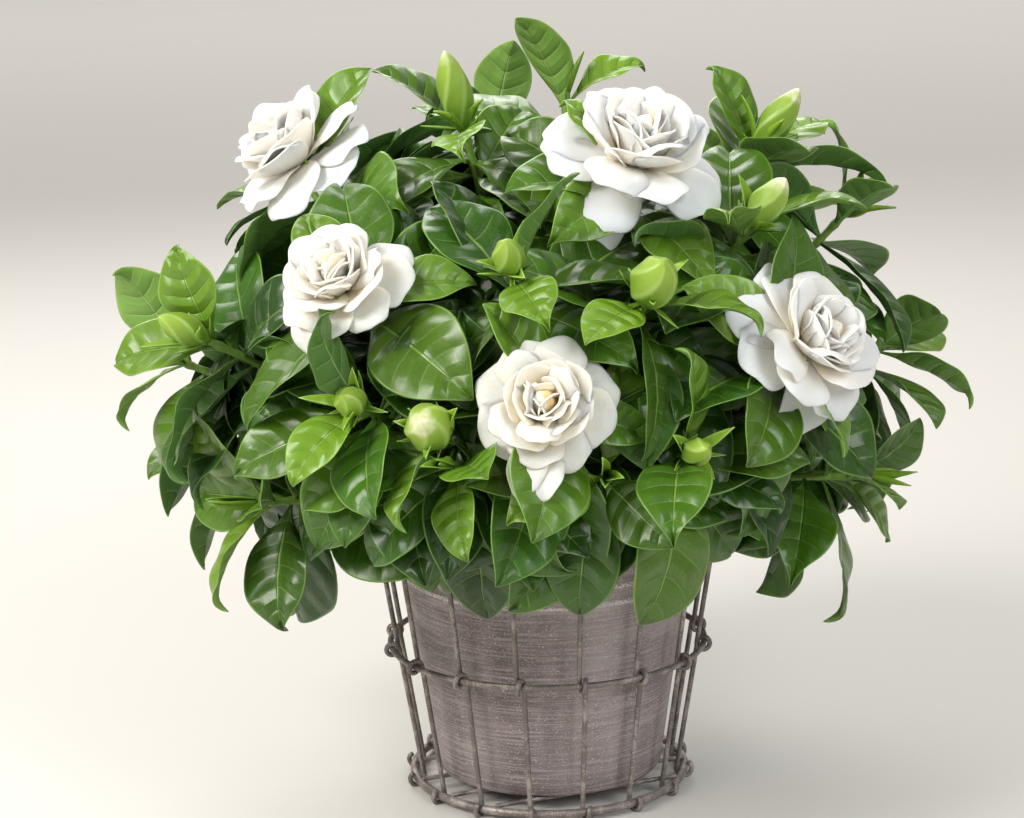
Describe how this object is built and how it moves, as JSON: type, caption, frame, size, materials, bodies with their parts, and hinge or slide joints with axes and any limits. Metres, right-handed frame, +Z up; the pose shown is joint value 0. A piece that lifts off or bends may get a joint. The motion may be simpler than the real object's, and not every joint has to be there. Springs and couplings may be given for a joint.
{
  "type": "potted gardenia",
  "caption": "Round leafy gardenia shrub with double white blooms and green buds, in a tapered pot held by an openwork wire basket with wrapped rings",
  "frame": {"origin": "middle of the basket's foot, on the surface it stands on", "axes": "+Z up; -Y is the front of the plant, with the bloom that faces the viewer; +X is to its right"},
  "size_m": [0.4981, 0.489, 0.4468],
  "materials": {
    "leaf": "glossy evergreen leaves, deep green above and paler below",
    "petal": "soft matt white petals, creamier at the heart",
    "bark": "rough grey-brown bark on the trunk and limbs",
    "soil": "dark crumbly potting soil",
    "pot": "matt grey-brown with fine pale brushed streaks",
    "wire": "weathered grey galvanised wire"
  },
  "bodies": {
    "root": {"basket_foot": "wire", "basket_middle_ring": "wire", "basket_top_ring": "wire", "basket_upright_1": "wire", "basket_upright_2": "wire", "basket_upright_3": "wire", "basket_upright_4": "wire", "basket_upright_5": "wire", "basket_upright_6": "wire", "basket_upright_7": "wire", "basket_upright_8": "wire", "basket_upright_9": "wire", "basket_upright_10": "wire", "basket_upright_11": "wire", "basket_upright_12": "wire", "basket_upright_13": "wire", "basket_upright_14": "wire", "basket_upright_15": "wire", "basket_upright_16": "wire", "pot": "pot", "soil": "soil", "branches": "bark", "bloom_front": "petal", "bloom_left": "petal", "bloom_right": "petal", "bloom_top": "petal", "bloom_upper_left": "petal", "shoot_bloom_front": "leaf", "shoot_bloom_left": "leaf", "shoot_bloom_right": "leaf", "shoot_bloom_top": "leaf", "shoot_bloom_upper_left": "leaf", "shoot_bud_curled": "leaf", "shoot_bud_low": "leaf", "shoot_bud_opening": "leaf", "shoot_bud_pale": "leaf", "shoot_bud_plump": "leaf", "shoot_bud_round": "leaf", "shoot_bud_side": "leaf", "shoot_bud_striped": "leaf", "shoot_bud_tall": "leaf", "shoot_leafy_1": "leaf", "shoot_leafy_10": "leaf", "shoot_leafy_11": "leaf", "shoot_leafy_12": "leaf", "shoot_leafy_13": "leaf", "shoot_leafy_14": "leaf", "shoot_leafy_15": "leaf", "shoot_leafy_16": "leaf", "shoot_leafy_2": "leaf", "shoot_leafy_3": "leaf", "shoot_leafy_4": "leaf", "shoot_leafy_5": "leaf", "shoot_leafy_6": "leaf", "shoot_leafy_7": "leaf", "shoot_leafy_8": "leaf", "shoot_leafy_9": "leaf", "shoot_left_edge": "leaf", "shoot_skirt_left": "leaf", "shoot_skirt_right": "leaf"}
  },
  "joints": []
}
